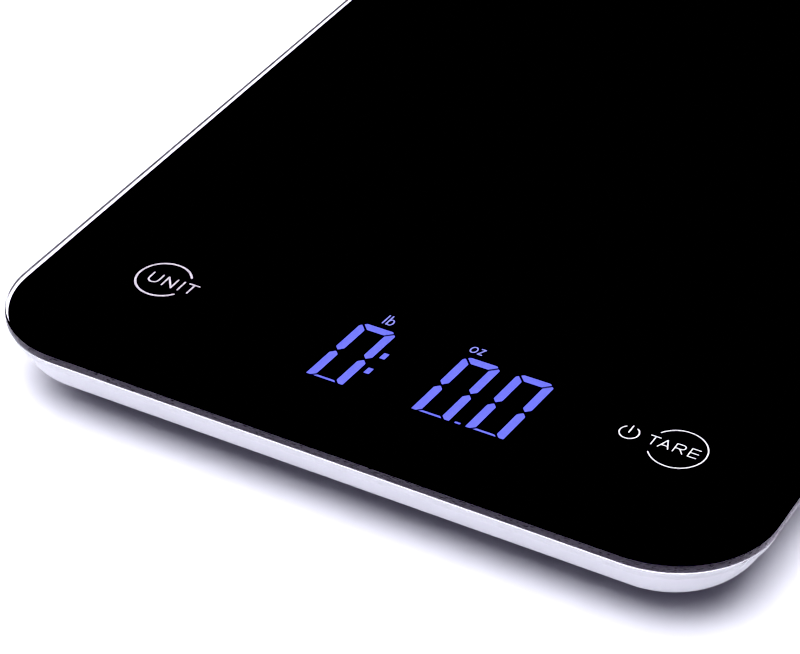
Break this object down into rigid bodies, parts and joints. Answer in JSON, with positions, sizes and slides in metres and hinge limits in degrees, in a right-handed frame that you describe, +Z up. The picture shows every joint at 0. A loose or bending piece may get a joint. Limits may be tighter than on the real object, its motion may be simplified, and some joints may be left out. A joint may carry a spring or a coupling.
{
  "type": "digital gram scale",
  "caption": "Slim electronic scale: black glass platform on a slanted white tray, backlit readout, printed ring touch keys, sprung load-cell feet and a coin-cell door.",
  "frame": {"origin": "centre of the bounding box's bottom face, on the surface that the feet rest on", "axes": "+X to the right, +Y to the back, +Z up; the readout and keys are at the front, at -Y"},
  "size_m": [0.175, 0.231, 0.018],
  "materials": {
    "clear_glass": "polished tempered glass, backed with black",
    "black_print": "black printed film",
    "white_shell": "white moulded plastic, satin",
    "foam_tape": "dark foam bonding tape",
    "circuit_board": "green solder mask",
    "epoxy": "black potting",
    "readout": "liquid crystal glass, backlit periwinkle blue",
    "light_guide": "milky light guide",
    "elastomer": "striped connector rubber",
    "stamped_steel": "stamped spring steel",
    "bright_steel": "nickel-plated steel",
    "silicone": "white silicone sealant",
    "foot_rubber": "dark grey rubber",
    "foot_plastic": "light grey moulded plastic",
    "lead_white": "white lead sleeve",
    "lead_red": "red lead sleeve",
    "lead_black": "black lead sleeve",
    "label": "blank silver label"
  },
  "bodies": {
    "scale_body": {"glass_platform": "clear_glass", "printed_film": "black_print", "glass_tape": "foam_tape", "body_shell": "white_shell", "rating_label": "label", "main_pcb": "circuit_board", "controller_chip": "epoxy", "crystal": "bright_steel", "lcd_glass": "readout", "lcd_frame": "white_shell", "backlight_panel": "light_guide", "zebra_strip": "elastomer", "touch_spring_unit": "bright_steel", "touch_spring_tare": "bright_steel", "coin_cell": "bright_steel", "battery_contact_positive": "bright_steel", "battery_contact_negative": "bright_steel", "battery_lead_positive": "lead_red", "battery_lead_negative": "lead_black", "load_cell_front_left": "stamped_steel", "load_cell_front_right": "stamped_steel", "load_cell_rear_left": "stamped_steel", "load_cell_rear_right": "stamped_steel", "strain_gauge_front_left": "silicone", "strain_gauge_front_right": "silicone", "strain_gauge_rear_left": "silicone", "strain_gauge_rear_right": "silicone", "cell_lead_front_left": "lead_white", "cell_lead_front_right": "lead_white", "cell_lead_rear_left": "lead_white", "cell_lead_rear_right": "lead_white", "cell_screw_front_left_a": "bright_steel", "cell_screw_front_left_b": "bright_steel", "cell_screw_front_right_a": "bright_steel", "cell_screw_front_right_b": "bright_steel", "cell_screw_rear_left_a": "bright_steel", "cell_screw_rear_left_b": "bright_steel", "cell_screw_rear_right_a": "bright_steel", "cell_screw_rear_right_b": "bright_steel", "pcb_screw_1": "bright_steel", "pcb_screw_2": "bright_steel", "pcb_screw_3": "bright_steel", "pcb_screw_4": "bright_steel"},
    "foot_front_left": {"foot_cup_front_left": "foot_plastic", "foot_pad_front_left": "foot_rubber"},
    "foot_front_right": {"foot_cup_front_right": "foot_plastic", "foot_pad_front_right": "foot_rubber"},
    "foot_rear_left": {"foot_cup_rear_left": "foot_plastic", "foot_pad_rear_left": "foot_rubber"},
    "foot_rear_right": {"foot_cup_rear_right": "foot_plastic", "foot_pad_rear_right": "foot_rubber"},
    "battery_door": {"battery_door": "white_shell"}
  },
  "joints": [
    {"name": "foot_travel_front_left", "type": "slide", "parent": "scale_body", "child": "foot_front_left", "axis": [0, 0, 1], "range_m": [0, 0.0003], "stiffness_N_per_m": 1000, "springref_m": -0.0012},
    {"name": "foot_travel_front_right", "type": "slide", "parent": "scale_body", "child": "foot_front_right", "axis": [0, 0, 1], "range_m": [0, 0.0003], "stiffness_N_per_m": 1000, "springref_m": -0.0012},
    {"name": "foot_travel_rear_left", "type": "slide", "parent": "scale_body", "child": "foot_rear_left", "axis": [0, 0, 1], "range_m": [0, 0.0003], "stiffness_N_per_m": 1000, "springref_m": -0.0012},
    {"name": "foot_travel_rear_right", "type": "slide", "parent": "scale_body", "child": "foot_rear_right", "axis": [0, 0, 1], "range_m": [0, 0.0003], "stiffness_N_per_m": 1000, "springref_m": -0.0012},
    {"name": "battery_door_swing", "type": "hinge", "parent": "scale_body", "child": "battery_door", "pos_m": [0, 0.0264, 0.0046], "axis": [1, 0, 0], "range_deg": [0, 70]}
  ]
}
